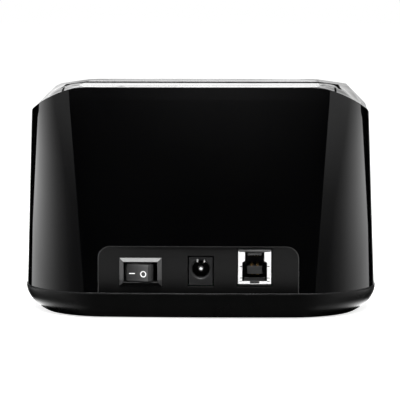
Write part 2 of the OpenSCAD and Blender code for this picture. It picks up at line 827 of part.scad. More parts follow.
module chip(x, y, w, d, h) {
    box([x - w / 2, y - d / 2, board_top], [x + w / 2, y + d / 2, board_top + h]);
}

module bridge_chip() {
    color([0.05, 0.05, 0.05]) chip(-10, sata_y + 0.6, 9, 9, 1.2);
}

module memory_chip() {
    color([0.05, 0.05, 0.05]) chip(-26, sata_y + 3.6, 5, 6, 1.5);
}

module crystal() {
    color(steel) chip(-20, sata_y - 7.4, 5, 3.2, 1);
}

module power_inductors() {
    color([0.20, 0.20, 0.21]) for (x = [-33, -25]) chip(x, board_front_y + 12, 6.4, 6.4, 3);
}

module filter_capacitors() {
    color([0.70, 0.70, 0.72]) for (x = [-15, -7])
        translate([x, board_front_y + 11, board_top]) cylinder(r = 3.1, h = 5.4);
}

module board_chips() {
    color([0.42, 0.32, 0.24]) for (i = [0 : 7]) chip(-16 + 3 * i, board_front_y + 4, 1.6, 0.8, 0.7);
}

// Lamp in the hinge cover, on a small board of its own

module status_led() {
    color([0.70, 0.80, 0.95]) translate([led_x, led_y, 0]) {
        translate([0, 0, body_h - 3.4]) cylinder(r = led_r, h = 3.4);
        translate([0, 0, body_h - 4.2]) cylinder(r = led_r + 0.4, h = 0.8);
    }
}

module led_board() {
    color(board_green) box([led_x - 5, led_y - 1.8, body_h - 5.4], [led_x + 5, led_y + 1.8, body_h - 4.2]);
}

module led_leads() {
    color([0.75, 0.75, 0.75]) for (x = [-1.2, 1.2]) tube([
        [led_x + x + 2, led_y, body_h - 5.4], [led_x + x + 2, led_y, body_h - 12],
        [led_x + x + 4, led_y - 0.5, body_h - 22], [led_x + x + 6.5, led_y - 1.5, body_h - 40],
        [led_x + x + 7.4, led_y - 1.5, board_top + 12], [led_x + x + 7.4, led_y - 1.5, board_top]], 0.5, 8);
}

// Screws

module screw(head_r, head_h, shank_r, length) {
    difference() {
        union() {
            cylinder(r = head_r, h = head_h);
            translate([0, 0, head_h]) cylinder(r = shank_r, h = length);
        }
        for (a = [0, 90]) rotate(a) box([-head_r * 0.6, -0.3, -1], [head_r * 0.6, 0.3, head_h * 0.6]);
    }
}

module case_screws() {
    color(steel) for (x = [-post_x, post_x], y = post_y)
        translate([x, y, foot_drop + 4 - 2]) screw(screw_head_r, 2, screw_r - 0.32, 12);
}

module board_screws() {
    color(steel) for (x = [-stand_x, stand_x], y = stand_y)
        translate([x, y, board_top + 1.4]) rotate([180, 0, 0]) screw(2.4, 1.4, 0.98, 6);
}

module guide_screws() {
    color(steel) for (x = [-lug_x, lug_x], y = lug_y)
        translate([x, y, lug_z - 1.4]) screw(2.2, 1.4, 0.98, 7);
}

base_tray();
upper_shell();
port_panel();
drive_guide();
hinge_cover();
flap();
flap_rod();
flap_springs();
main_board();
sata_socket();
sata_contacts();
usb_shell();
usb_insulator();
usb_contacts();
jack_body();
jack_pin();
jack_spring();
switch_housing();
switch_rocker();
switch_terminals();
switch_leads();
bridge_chip();
memory_chip();
crystal();
power_inductors();
filter_capacitors();
board_chips();
status_led();
led_board();
led_leads();
rubber_feet();
case_screws();
board_screws();
guide_screws();
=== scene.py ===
import json
import math
import bmesh
import bpy
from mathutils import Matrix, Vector

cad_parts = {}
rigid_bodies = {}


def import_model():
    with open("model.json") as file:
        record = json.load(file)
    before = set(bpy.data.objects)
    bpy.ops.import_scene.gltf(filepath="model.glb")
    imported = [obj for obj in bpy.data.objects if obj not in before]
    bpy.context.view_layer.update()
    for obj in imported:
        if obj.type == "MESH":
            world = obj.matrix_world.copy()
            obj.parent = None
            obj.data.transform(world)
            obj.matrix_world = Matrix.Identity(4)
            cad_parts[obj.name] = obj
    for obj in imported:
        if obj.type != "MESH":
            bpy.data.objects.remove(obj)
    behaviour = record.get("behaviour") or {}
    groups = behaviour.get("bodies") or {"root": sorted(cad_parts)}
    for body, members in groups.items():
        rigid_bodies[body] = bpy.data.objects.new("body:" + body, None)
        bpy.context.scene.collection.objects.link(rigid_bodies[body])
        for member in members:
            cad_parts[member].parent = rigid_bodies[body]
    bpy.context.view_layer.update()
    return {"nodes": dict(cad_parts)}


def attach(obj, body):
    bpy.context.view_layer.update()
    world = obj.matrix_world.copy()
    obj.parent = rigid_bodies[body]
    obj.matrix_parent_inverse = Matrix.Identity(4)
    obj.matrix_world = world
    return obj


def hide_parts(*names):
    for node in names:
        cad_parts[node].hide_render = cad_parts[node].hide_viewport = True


for leftover in list(bpy.data.objects):
    bpy.data.objects.remove(leftover)
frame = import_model()
nodes = frame["nodes"]


# Base tray
# The lower half of the case is a shallow dish, moulded in black ABS with a satin skin.
# Its sides curve in towards the desk, and the upper shell sits on its rim.
MM = 0.001
BOW = 700.0
SEAM_Z = 9.5
HALF_W, REAR_REACH, FRONT_REACH, CORNER = 65, 42, 42.6645, 29
TUCK_HEIGHT, TUCK_SIDE, TUCK_END, TUCK_CORNER = 11, 18, 4, 11
BASE_FOOT, BASE_SKIN = 0.75, 0.35
SIDE_STEPS, FRONT_STEPS = 14, 12


def case_outline(half_w, rear, front, corner, place):
    """A point on the right half of the case's outline, at place = (stretch, share along it)."""
    stretch, share = place
    middle = half_w - corner
    reach = math.sqrt((BOW - corner) ** 2 - middle * middle)
    turn = math.asin(middle / (BOW - corner))
    rear_centre, front_centre = rear - BOW + reach, front + BOW - reach
    if stretch == "rear":
        return share, rear - BOW + math.sqrt(BOW * BOW - share * share)
    if stretch == "rear end":
        start, along = share
        angle = math.asin(start / BOW) * (1 - along) + turn * along
        return BOW * math.sin(angle), rear - BOW + BOW * math.cos(angle)
    if stretch == "rear corner":
        angle = turn + (math.pi / 2 - turn) * share
        return middle + corner * math.sin(angle), rear_centre + corner * math.cos(angle)
    if stretch == "side":
        return half_w, rear_centre + (front_centre - rear_centre) * share
    if stretch == "front corner":
        angle = math.pi / 2 + (math.pi / 2 - turn) * share
        return middle + corner * math.sin(angle), front_centre + corner * math.cos(angle)
    angle = turn * (1 - share)
    return BOW * math.sin(angle), front + BOW - BOW * math.cos(angle)


def stations(rear_xs, corner_steps):
    """Where the columns of points stand round the right half of the case, from mid rear to mid front."""
    return (
        [("rear", x) for x in rear_xs]
        + [("rear end", (rear_xs[-1], 0.5))]
        + [("rear corner", i / corner_steps) for i in range(corner_steps + 1)]
        + [("side", i / SIDE_STEPS) for i in range(1, SIDE_STEPS)]
        + [("front corner", i / corner_steps) for i in range(corner_steps + 1)]
        + [("front", i / FRONT_STEPS) for i in range(1, FRONT_STEPS + 1)]
    )


def both_sides(columns):
    """The right half's columns of points, and their mirror images on the left, all the way round."""
    left = [[(-x, y, z) for x, y, z in column] for column in columns[-2:0:-1]]
    return columns + left


def blend_arc(start, knee, end, steps):
    """Points of a soft curve from start to end that bends at knee."""
    points = []
    for i in range(steps + 1):
        t = i / steps
        points.append(tuple(
            (1 - t) ** 2 * a + 2 * t * (1 - t) * b + t * t * c for a, b, c in zip(start, knee, end)))
    return points


def make_piece(name, points, faces, body, material, crease=38):
    """A mesh piece from points in millimetres, smooth but for edges sharper than crease degrees."""
    mesh = bpy.data.meshes.new(name)
    mesh.from_pydata([(x * MM, y * MM, z * MM) for x, y, z in points], [], faces)
    shaped = bmesh.new()
    shaped.from_mesh(mesh)
    bmesh.ops.recalc_face_normals(shaped, faces=shaped.faces)
    for face in shaped.faces:
        face.smooth = True
    for edge in shaped.edges:
        edge.smooth = edge.is_boundary or edge.calc_face_angle(0) < math.radians(crease)
    shaped.to_mesh(mesh)
    shaped.free()
    piece = bpy.data.objects.new(name, mesh)
    bpy.context.scene.collection.objects.link(piece)
    mesh.materials.append(material)
    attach(piece, body)
    return piece


def new_finish(name, colour, roughness, metallic=0.0):
    """A material with its shader set to one plain finish, ready for its grain."""
    made = bpy.data.materials.new(name)
    made.use_nodes = True
    shader = made.node_tree.nodes["Principled BSDF"]
    shader.inputs["Base Color"].default_value = (*colour, 1)
    shader.inputs["Roughness"].default_value = roughness
    shader.inputs["Metallic"].default_value = metallic
    return made, made.node_tree, shader


def specks(tree, across, detail=2.0, stretch=(1, 1, 1)):
    """Noise whose specks are about that many millimetres across."""
    place = tree.nodes.new("ShaderNodeTexCoord")
    shape = tree.nodes.new("ShaderNodeMapping")
    noise = tree.nodes.new("ShaderNodeTexNoise")
    shape.inputs["Scale"].default_value = stretch
    noise.inputs["Scale"].default_value = 1 / (across * MM)
    noise.inputs["Detail"].default_value = detail
    tree.links.new(place.outputs["Object"], shape.inputs["Vector"])
    tree.links.new(shape.outputs["Vector"], noise.inputs["Vector"])
    return noise.outputs["Fac"]


def spread(tree, noise, low, high, socket):
    """Lets a noise drive a shader's socket between two values."""
    span = tree.nodes.new("ShaderNodeMapRange")
    span.inputs["From Min"].default_value = 0.3
    span.inputs["From Max"].default_value = 0.7
    span.inputs["To Min"].default_value = low
    span.inputs["To Max"].default_value = high
    tree.links.new(noise, span.inputs["Value"])
    tree.links.new(span.outputs["Result"], socket)


def mottle(tree, noise, dark, light, socket):
    """Lets a noise drive a colour socket between two colours."""
    ramp = tree.nodes.new("ShaderNodeValToRGB")
    ramp.color_ramp.elements[0].position = 0.3
    ramp.color_ramp.elements[1].position = 0.7
    ramp.color_ramp.elements[0].color = (*dark, 1)
    ramp.color_ramp.elements[1].color = (*light, 1)
    tree.links.new(noise, ramp.inputs["Fac"])
    tree.links.new(ramp.outputs["Color"], socket)


def grey_ramp(tree, value, start, end, levels):
    """Turns a value that runs from start to end into the greys that levels gives at shares of the way."""
    along = tree.nodes.new("ShaderNodeMapRange")
    along.inputs["From Min"].default_value = start
    along.inputs["From Max"].default_value = end
    tree.links.new(value, along.inputs["Value"])
    ramp = tree.nodes.new("ShaderNodeValToRGB")
    stops = ramp.color_ramp.elements
    for share, _grey in levels[1:-1]:
        stops.new(share)
    for stop, (share, grey) in zip(stops, levels):
        stop.position = share
        stop.color = (grey, grey, grey, 1)
    tree.links.new(along.outputs["Result"], ramp.inputs["Fac"])
    return ramp.outputs["Color"]


def blend_greys(tree, under, over, way):
    """Two greys in one, multiplied or the lighter of them."""
    both = tree.nodes.new("ShaderNodeMix")
    both.data_type = "RGBA"
    both.blend_type = way
    both.inputs["Factor"].default_value = 1
    tree.links.new(under, both.inputs["A"])
    tree.links.new(over, both.inputs["B"])
    return both.outputs["Result"]


def tones(tree, steps, socket):
    """Greys that change along an axis, or with the way a face looks, under fine specks; on a base colour they
    mostly paint light and shade into the surface.
    """
    grain = tree.nodes.new("ShaderNodeMapRange")
    grain.inputs["To Min"].default_value = 0.9
    grain.inputs["To Max"].default_value = 1.1
    tree.links.new(specks(tree, 2.5, 4), grain.inputs["Value"])
    level = grain.outputs["Result"]
    where = tree.nodes.new("ShaderNodeTexCoord")
    for source, axis, levels in steps:
        split = tree.nodes.new("ShaderNodeSeparateXYZ")
        tree.links.new(where.outputs[source], split.inputs["Vector"])
        unit = MM if source == "Object" else 1
        first, last = levels[0][0], levels[-1][0]
        shares = [((place - first) / (last - first), grey) for place, grey in levels]
        ramp = grey_ramp(tree, split.outputs[axis], first * unit, last * unit, shares)
        level = blend_greys(tree, level, ramp, "MULTIPLY")
    tree.links.new(level, socket)


def emboss(tree, noise, depth, shader):
    """Raises the surface by a noise, depth millimetres from its lows to its highs."""
    bump = tree.nodes.new("ShaderNodeBump")
    bump.inputs["Strength"].default_value = 1
    bump.inputs["Distance"].default_value = depth * MM
    tree.links.new(noise, bump.inputs["Height"])
    tree.links.new(bump.outputs["Normal"], shader.inputs["Normal"])


def dress(node, material):
    """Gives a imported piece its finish."""
    for place in nodes[node].material_slots:
        place.material = material


def ease(node, radius):
    """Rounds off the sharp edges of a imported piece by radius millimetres."""
    join = nodes[node].modifiers.new("join", "WELD")
    join.merge_threshold = 0.000002
    flats = nodes[node].modifiers.new("flats", "DECIMATE")
    flats.decimate_type = "DISSOLVE"
    flats.angle_limit = math.radians(0.5)
    edges = nodes[node].modifiers.new("edges", "BEVEL")
    edges.width = radius * MM
    edges.segments = 2
    edges.limit_method = "ANGLE"
    edges.angle_limit = math.radians(40)
    edges.harden_normals = True


satin_black, tree, shader = new_finish("satin_black_abs", (0.002, 0.002, 0.0022), 0.36)
shader.inputs["Specular IOR Level"].default_value = 0.13
# Painted shade and light: the base colour is darker on faces that turn down towards the desk, and lighter on
# the curved corners and sides than where the rear faces straight back.
tones(tree, [
    ("Normal", "Y", [(-1, 0.009), (0.88, 0.009), (0.985, 0.003), (1, 0.002)]),
    ("Normal", "Z", [(-1, 0.1), (-0.6, 0.1), (-0.36, 0.4), (-0.12, 1), (1, 1)])], shader.inputs["Base Color"])
spread(tree, specks(tree, 9, 4), 0.26, 0.34, shader.inputs["Roughness"])
emboss(tree, specks(tree, 0.35, 3), 0.006, shader)
dress("base_tray", satin_black)


def base_point(place, z, inset):
    """A point of the base's curved side at height z, drawn in by inset."""
    tuck = 1 - math.sqrt(1 - ((SEAM_Z - z) / TUCK_HEIGHT) ** 2)
    return (*case_outline(
        HALF_W - TUCK_SIDE * tuck - inset, REAR_REACH - TUCK_END * tuck - inset,
        -FRONT_REACH + TUCK_END * tuck + inset, CORNER - TUCK_CORNER * tuck - inset, place), z)


base_places = stations([i * 6 for i in range(6)], 28)
rise = [BASE_FOOT + 8.25 * (i / 14) ** 1.3 for i in range(15)]
base_columns = []
for place in base_places:
    column = [base_point(place, z, -BASE_SKIN) for z in rise]
    column += blend_arc(
        column[-1], base_point(place, SEAM_Z, -BASE_SKIN), base_point(place, SEAM_Z, 0.1), 5)[1:]
    column += [base_point(place, z, 1.2) for z in (8.5, 5, 1.5)]
    base_columns.append(column)
base_columns = both_sides(base_columns)
tall = len(base_columns[0])
base_faces = []
for c in range(len(base_columns)):
    d = (c + 1) % len(base_columns)
    for r in range(tall):
        s = (r + 1) % tall
        base_faces.append((c * tall + r, c * tall + s, d * tall + s, d * tall + r))
make_piece(
    "base_skin", [p for column in base_columns for p in column], base_faces, "dock", satin_black)


def thin_bead(name, path, radius, closed, material):
    """A thin round bead along a path, in millimetres."""
    points, faces = [], []
    count, sides = len(path), 8
    for i, here in enumerate(path):
        before = path[(i - 1) % count if closed else max(i - 1, 0)]
        after = path[(i + 1) % count if closed else min(i + 1, count - 1)]
        along = (Vector(after) - Vector(before)).normalized()
        out = along.cross(Vector((0, 0, 1)) if abs(along.z) < 0.9 else Vector((0, 1, 0))).normalized()
        up = along.cross(out)
        for k in range(sides):
            turn = math.tau * k / sides
            points.append(tuple(Vector(here) + radius * (math.cos(turn) * out + math.sin(turn) * up)))
    for i in range(count if closed else count - 1):
        n = (i + 1) % count
        for k in range(sides):
            q = (k + 1) % sides
            faces.append((i * sides + k, i * sides + q, n * sides + q, n * sides + k))
    if not closed:
        faces += [tuple(range(sides)), tuple(range((count - 1) * sides, count * sides))]
    return make_piece(name, points, faces, "dock", material, 60)


rim_shine, tree, shader = new_finish("rim_shine", (0.008, 0.008, 0.0085), 0.3)
shader.inputs["Specular IOR Level"].default_value = 0.3
spread(tree, specks(tree, 3, 4), 0.24, 0.36, shader.inputs["Roughness"])
rim_path = both_sides([[base_point(place, SEAM_Z, -0.2)] for place in base_places])
thin_bead("base_rim_bead", [column[0] for column in rim_path], 0.13, True, rim_shine)


# Rubber feet
# Four soft discs are glued into shallow seats under the base.
# They are black rubber with a dusty bloom, and keep the dock from sliding.
foot_rubber, tree, shader = new_finish("foot_rubber", (0.02, 0.02, 0.02), 0.85)
mottle(tree, specks(tree, 1.5, 4), (0.014, 0.014, 0.014), (0.035, 0.034, 0.033), shader.inputs["Base Color"])
emboss(tree, specks(tree, 0.3, 3), 0.02, shader)
dress("rubber_feet", foot_rubber)


# Main board
# A green glass-fibre board on four standoffs carries the socket, the chips and the ports.
# Its solder mask shows fine copper tracks underneath.
board_green, tree, shader = new_finish("board_green", (0.01, 0.09, 0.04), 0.35)
tracks = tree.nodes.new("ShaderNodeTexBrick")
tracks.inputs["Scale"].default_value = 260
tracks.inputs["Mortar Size"].default_value = 0.03
tracks.inputs["Color1"].default_value = (0.008, 0.075, 0.035, 1)
tracks.inputs["Color2"].default_value = (0.010, 0.090, 0.042, 1)
tracks.inputs["Mortar"].default_value = (0.03, 0.17, 0.08, 1)
where = tree.nodes.new("ShaderNodeTexCoord")
tree.links.new(where.outputs["Object"], tracks.inputs["Vector"])
tree.links.new(tracks.outputs["Color"], shader.inputs["Base Color"])
emboss(tree, tracks.outputs["Fac"], 0.02, shader)
spread(tree, specks(tree, 6, 3), 0.28, 0.42, shader.inputs["Roughness"])
dress("main_board", board_green)
dress("led_board", board_green)


# Chips and passives
# Black epoxy chips, tan ceramic capacitors, two wound inductors and two silver cans.
# All of them are soldered to the top of the board.
chip_black, tree, shader = new_finish("chip_epoxy", (0.02, 0.02, 0.021), 0.6)
mottle(tree, specks(tree, 0.2, 4), (0.014, 0.014, 0.015), (0.03, 0.03, 0.031), shader.inputs["Base Color"])
emboss(tree, specks(tree, 0.15, 3), 0.01, shader)
for node in ("bridge_chip", "memory_chip", "power_inductors"):
    dress(node, chip_black)
    ease(node, 0.15)
chip_tan, tree, shader = new_finish("ceramic_tan", (0.35, 0.24, 0.14), 0.5)
mottle(tree, specks(tree, 0.4, 3), (0.30, 0.20, 0.12), (0.42, 0.30, 0.18), shader.inputs["Base Color"])
dress("board_chips", chip_tan)
ease("board_chips", 0.06)
can_silver, tree, shader = new_finish("capacitor_can", (0.72, 0.72, 0.73), 0.3, 1.0)
spread(tree, specks(tree, 0.6, 4), 0.22, 0.4, shader.inputs["Roughness"])
dress("filter_capacitors", can_silver)
ease("filter_capacitors", 0.25)


# Drive socket
# A black nylon connector stands on the board and reaches up through the guide's floor.
# Gold plated contacts line the two slots that the drive's edge drops into.
mould_black, tree, shader = new_finish("moulded_nylon", (0.02, 0.02, 0.021), 0.5)
mottle(tree, specks(tree, 5, 4), (0.016, 0.016, 0.017), (0.026, 0.026, 0.027), shader.inputs["Base Color"])
spread(tree, specks(tree, 3, 4), 0.42, 0.58, shader.inputs["Roughness"])
emboss(tree, specks(tree, 0.3, 3), 0.008, shader)
dress("sata_socket", mould_black)
ease("sata_socket", 0.2)
contact_gold, tree, shader = new_finish("contact_gold", (0.83, 0.58, 0.27), 0.25, 1.0)
spread(tree, specks(tree, 0.3, 3), 0.18, 0.36, shader.inputs["Roughness"])
mottle(tree, specks(tree, 0.8, 3), (0.75, 0.50, 0.22), (0.86, 0.63, 0.32), shader.inputs["Base Color"])
for node in ("sata_contacts", "usb_contacts"):
    dress(node, contact_gold)


# Drive guide
# A chute moulded in matt black nylon leads a drive down to the socket.
# Four screws hold it up under the shoulders of the shell.
dress("drive_guide", mould_black)
ease("drive_guide", 0.3)


# Upper shell
# One glossy black ABS moulding makes the four leaning walls and the roof.
# It comes off the tool with a mirror finish, and is open where the drive drops in.
ROOF_Z = 84.0
ROOF_HALF = 44.0
SHOULDER = 22.0
BREAK_FOOT, BREAK_KNEE = (66.0, 72.0), (55.5, 82.5)
ROUND_FROM, ROUND_BY = -5.0, 30.0
SINK_CENTRE, SINK_ROUND = (35.4, 43.75), 41.0
SINK_COVER, SINK_CORNER, SINK_WIDTH = (26.5, 34), (8, 28), 6
WALL = 2.4
LEAN_SIDE, LEAN_REAR, LEAN_FRONT, LEAN_CORNER = 3.2, 2.5, 12, 11
EAVES, RIM, LIP = 0.2, 0.15, 0.3
PANEL_HALF = 36.55
PANEL_TOP = 26.75
PANEL_ROUND = 4.75
BAY_HALF, COVER_HALF = 51.8, 49.6
COVER_FRONT = 26.75
BAY_FRONT = -6.0
BAY_SIDE_REAR, BAY_SIDE_FRONT = 23.66, 1.66
BAY_FLAT, BAY_BACK = 37.1, 37.13
BAY_ROUND, BAY_ROUND_AT = 15.75, (43.69, 19.98)
ROOF_STEPS = 11

gloss_black, tree, shader = new_finish("gloss_black_abs", (0.0008, 0.0008, 0.0009), 0.04)
mottle(
    tree, specks(tree, 30, 3), (0.0006, 0.0006, 0.0007), (0.0010, 0.0010, 0.0011), shader.inputs["Base Color"])
spread(tree, specks(tree, 22, 5), 0.03, 0.06, shader.inputs["Roughness"])
emboss(tree, specks(tree, 6, 1), 0.0012, shader)


def shoulder_height(x, y):
    """Height of the shoulders: round at the rear, broken at the front."""
    if abs(x) <= ROOF_HALF:
        return ROOF_Z
    rear_share = min(max((y - ROUND_FROM) / (ROUND_BY - ROUND_FROM), 0), 1)
    low, high = 0.0, 1.0
    for _ in range(30):
        along = (low + high) / 2
        turn = math.pi / 2 * along
        rear = ROOF_HALF + SHOULDER * math.cos(turn), ROOF_Z - SHOULDER + SHOULDER * math.sin(turn)
        if along < 0.5:
            front = [a + (b - a) * along / 0.5 for a, b in zip(BREAK_FOOT, BREAK_KNEE)]
        else:
            front = [a + (b - a) * (along - 0.5) / 0.5 for a, b in zip(BREAK_KNEE, (ROOF_HALF, ROOF_Z))]
        if front[0] + (rear[0] - front[0]) * rear_share > abs(x):
            low = along
        else:
            high = along
    return front[1] + (rear[1] - front[1]) * rear_share


def soft_step(place, start, end):
    """0 before start, 1 after end, and a soft rise between them."""
    share = min(max((place - start) / (end - start), 0), 1)
    return share * share * (3 - 2 * share)


def roof_height(x, y):
    """Height of the roof's outside, which sinks a little towards the rear corners of the rim."""
    plain = shoulder_height(x, y)
    past = max(abs(x) - SINK_CENTRE[0], 0)
    sunk = min(plain, SINK_CENTRE[1] + math.sqrt(SINK_ROUND ** 2 - past * past))
    over_cover = soft_step(y, *SINK_COVER)
    over_corner = soft_step(abs(x), BAY_HALF, BAY_HALF + SINK_WIDTH) * soft_step(y, *SINK_CORNER)
    return plain + (sunk - plain) * (over_cover + over_corner - over_cover * over_corner)


def knee_x(y):
    """How far out the shoulder's break is at y; it fades into the round shoulder towards the rear."""
    rear_share = min(max((y - ROUND_FROM) / (ROUND_BY - ROUND_FROM), 0), 1)
    rear = ROOF_HALF + SHOULDER * math.cos(math.pi / 4)
    return BREAK_KNEE[0] + (rear - BREAK_KNEE[0]) * rear_share


def ceiling_height(x):
    """Height of the roof's inside, which is round over the shoulders all the way."""
    past = abs(x) - ROOF_HALF
    if past <= 0:
        return ROOF_Z - WALL
    return ROOF_Z - SHOULDER + math.sqrt(max((SHOULDER - WALL) ** 2 - past * past, 0))


def shell_point(place, z, inset):
    """A point of the leaning wall at height z, drawn in by inset."""
    up = (z - SEAM_Z) / (ROOF_Z - SEAM_Z)
    return (*case_outline(
        HALF_W - LEAN_SIDE * up - inset, REAR_REACH - LEAN_REAR * up - inset,
        -FRONT_REACH + LEAN_FRONT * up + inset, CORNER - LEAN_CORNER * up - inset, place), z)


def eaves(place, inset):
    """Height at which a column of the wall meets the roof, or on the inside the ceiling."""
    low, high = 50.0, ROOF_Z
    for _ in range(30):
        middle = (low + high) / 2
        x, y, _z = shell_point(place, middle, inset)
        if middle < (ceiling_height(x) if inset else roof_height(x, y)):
            low = middle
        else:
            high = middle
    return low


def panel_edge(x):
    """Lower edge of the rear wall over x, where the port panel is let in."""
    past = x - (PANEL_HALF - PANEL_ROUND)
    if past <= 0:
        return PANEL_TOP
    return PANEL_TOP - PANEL_ROUND + math.sqrt(max(PANEL_ROUND ** 2 - past * past, 0))


def bay_rear(x):
    """How far back the roof's opening reaches at x; its rear corners follow the wall."""
    x = abs(x)
    middle, rear = BAY_ROUND_AT
    if x < BOW * middle / (BOW - BAY_ROUND):
        return min(BAY_FLAT, BAY_BACK - BOW + math.sqrt(BOW * BOW - x * x))
    return rear + math.sqrt(BAY_ROUND ** 2 - (x - middle) ** 2)


def bay_edge(place):
    """The point of the roof opening's rim that a column of the wall leads to."""
    stretch, share = place
    if stretch == "rear":
        return share, bay_rear(share)
    if stretch in ("rear end", "rear corner"):
        along = 0.06 if stretch == "rear end" else 0.1 + 0.9 * share
        if along < 0.5:
            x = PANEL_HALF + (COVER_HALF - PANEL_HALF) * along / 0.5
            return x, bay_rear(x)
        if along < 0.8:
            rear = bay_rear(COVER_HALF)
            return COVER_HALF, rear + (COVER_FRONT - rear) * (along - 0.5) / 0.28
        return BAY_HALF, 26.4 - 2.74 * (along - 0.8) / 0.2
    if stretch == "side":
        return BAY_HALF, BAY_SIDE_REAR + (BAY_SIDE_FRONT - BAY_SIDE_REAR) * share
    if stretch == "front corner":
        if share < 0.5:
            return BAY_HALF, BAY_SIDE_FRONT + (BAY_FRONT - BAY_SIDE_FRONT) * share / 0.5
        return BAY_HALF - 10 * (share - 0.5) / 0.5, BAY_FRONT
    return 41.5 * (1 - share), BAY_FRONT


def towards(a, b, distance):
    """The point that distance from a on the way to b, in plan."""
    gap = math.hypot(b[0] - a[0], b[1] - a[1])
    share = min(distance / gap, 0.45) if gap > 1e-6 else 0
    return a[0] + (b[0] - a[0]) * share, a[1] + (b[1] - a[1]) * share


def shell_column(place, foot):
    """Points up the outside of the wall from foot, over the roof, and down the inside again."""
    top = eaves(place, 0)
    edge = shell_point(place, top, 0)
    rim = bay_edge(place)
    column = [shell_point(place, foot + (top - EAVES - foot) * i / 12, 0) for i in range(13)]
    x, y = towards(edge, rim, EAVES)
    column += blend_arc(column[-1], edge, (x, y, roof_height(x, y)), 6)[1:]
    ex, ey = towards(rim, (x, y), RIM)
    low, high = 0.0, 1.0
    for _ in range(30):
        share = (low + high) / 2
        if x + (ex - x) * share > knee_x(y + (ey - y) * share):
            low = share
        else:
            high = share
    share = max(share, 0.02)
    for i in range(1, 2 * ROOF_STEPS + 1):
        if i <= ROOF_STEPS:
            along = share * i / ROOF_STEPS
        else:
            along = share + (1 - share) * (i - ROOF_STEPS) / ROOF_STEPS
        px, py = x + (ex - x) * along, y + (ey - y) * along
        column.append((px, py, roof_height(px, py)))
    column.insert(-1, (*towards(rim, (x, y), LIP), 0))
    column[-2] = (*column[-2][:2], roof_height(*column[-2][:2]))
    rim_z = roof_height(*rim)
    column += blend_arc(column[-1], (*rim, rim_z), (*rim, rim_z - RIM), 6)[1:]
    column.append((*rim, ceiling_height(rim[0])))
    inside = shell_point(place, eaves(place, WALL), WALL)
    for i in range(1, 4):
        px, py = rim[0] + (inside[0] - rim[0]) * i / 4, rim[1] + (inside[1] - rim[1]) * i / 4
        column.append((px, py, ceiling_height(px)))
    column += [shell_point(place, inside[2] + (foot - inside[2]) * i / 4, WALL) for i in range(5)]
    return column


arch = [PANEL_HALF - PANEL_ROUND + PANEL_ROUND * math.sin(math.radians(i * 10)) for i in range(1, 9)]
rear_xs = [0, 5.3, 10.6, 15.9, 21.2, 26.5, PANEL_HALF - PANEL_ROUND] + arch + [PANEL_HALF]
shell_places = stations(rear_xs, 46)
foot_z = PANEL_TOP - PANEL_ROUND
LOW, LIP_ROW, RIM_ROW = 5, 18 + 2 * ROOF_STEPS, 25 + 2 * ROOF_STEPS
shell_columns = []
for place in shell_places:
    cut = place[0] == "rear" and place[1] < PANEL_HALF
    body = shell_column(place, panel_edge(place[1]) if cut else foot_z)
    if not cut:
        steps = [SEAM_Z + (foot_z - SEAM_Z) * i / LOW for i in range(LOW)]
        body = [shell_point(place, z, 0) for z in steps] + body + [
            shell_point(place, z, WALL) for z in reversed(steps)]
    shell_columns.append(body)
shell_columns = both_sides(shell_columns)
starts, points = [], []
for column in shell_columns:
    starts.append(len(points))
    points += column
longest = max(len(column) for column in shell_columns)
main = longest - 2 * LOW
shell_faces = []
for c in range(len(shell_columns)):
    d = (c + 1) % len(shell_columns)
    whole_c, whole_d = len(shell_columns[c]) == longest, len(shell_columns[d]) == longest
    if whole_c and whole_d:
        pairs = [(starts[c] + r, starts[d] + r) for r in range(longest)]
    else:
        skip_c, skip_d = (LOW if whole else 0 for whole in (whole_c, whole_d))
        pairs = [(starts[c] + r + skip_c, starts[d] + r + skip_d) for r in range(main)]
        for whole, start in ((whole_c, starts[c]), (whole_d, starts[d])):
            if whole:
                for k in range(LOW):
                    out, back = start + k, start + longest - 1 - k
                    shell_faces.append((out, out + 1, back - 1, back))
    for (a, b), (e, f) in zip(pairs, pairs[1:] + pairs[:1]):
        shell_faces.append((a, e, f, b))
shell_skin = make_piece("shell_skin", points, shell_faces, "dock", gloss_black, 25)
inside_black, tree, shader = new_finish("shell_inside", (0.003, 0.003, 0.003), 0.6)
shader.inputs["Specular IOR Level"].default_value = 0.05
mottle(tree, specks(tree, 5, 3), (0.002, 0.002, 0.002), (0.004, 0.004, 0.004), shader.inputs["Base Color"])
emboss(tree, specks(tree, 0.4, 3), 0.01, shader)
shell_skin.data.materials.append(inside_black)
rows, lips = {}, {}
for column, start in zip(shell_columns, starts):
    skip = LOW if len(column) == longest else 0
    for r in range(len(column)):
        rows[start + r] = r - skip
        lips[start + r] = column[RIM_ROW + skip][1] < bay_rear(COVER_HALF) + 0.01
for face in shell_skin.data.polygons:
    lowest = min(rows[v] for v in face.vertices)
    if lowest >= RIM_ROW or (lowest >= LIP_ROW and all(lips[v] for v in face.vertices)):
        face.material_index = 1
rim_bevel = shell_skin.modifiers.new("edges", "BEVEL")
rim_bevel.width = 0.3 * MM
rim_bevel.segments = 2
rim_bevel.limit_method = "ANGLE"
rim_bevel.angle_limit = math.radians(40)
rim_bevel.harden_normals = True
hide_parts("upper_shell")


# Port panel
# A matt black plate, moulded apart and let into the rear of the shell.
# Three square holes let the switch, the power jack and the data port through.
panel_black, tree, shader = new_finish("panel_black", (0.009, 0.009, 0.009), 0.55)
shader.inputs["Specular IOR Level"].default_value = 0.14
# Painted shade: the plate's base colour fades to black towards its bottom edge.
tones(tree, [("Object", "Z", [
    (9.5, 0.0), (10.4, 0.0006), (12.4, 0.0038), (14.5, 0.0076), (18.5, 0.0100), (22, 0.0092), (26.6, 0.0082)])],
    shader.inputs["Base Color"])
spread(tree, specks(tree, 2, 4), 0.48, 0.60, shader.inputs["Roughness"])
emboss(tree, specks(tree, 0.25, 3), 0.006, shader)
dress("port_panel", panel_black)
ease("port_panel", 0.2)


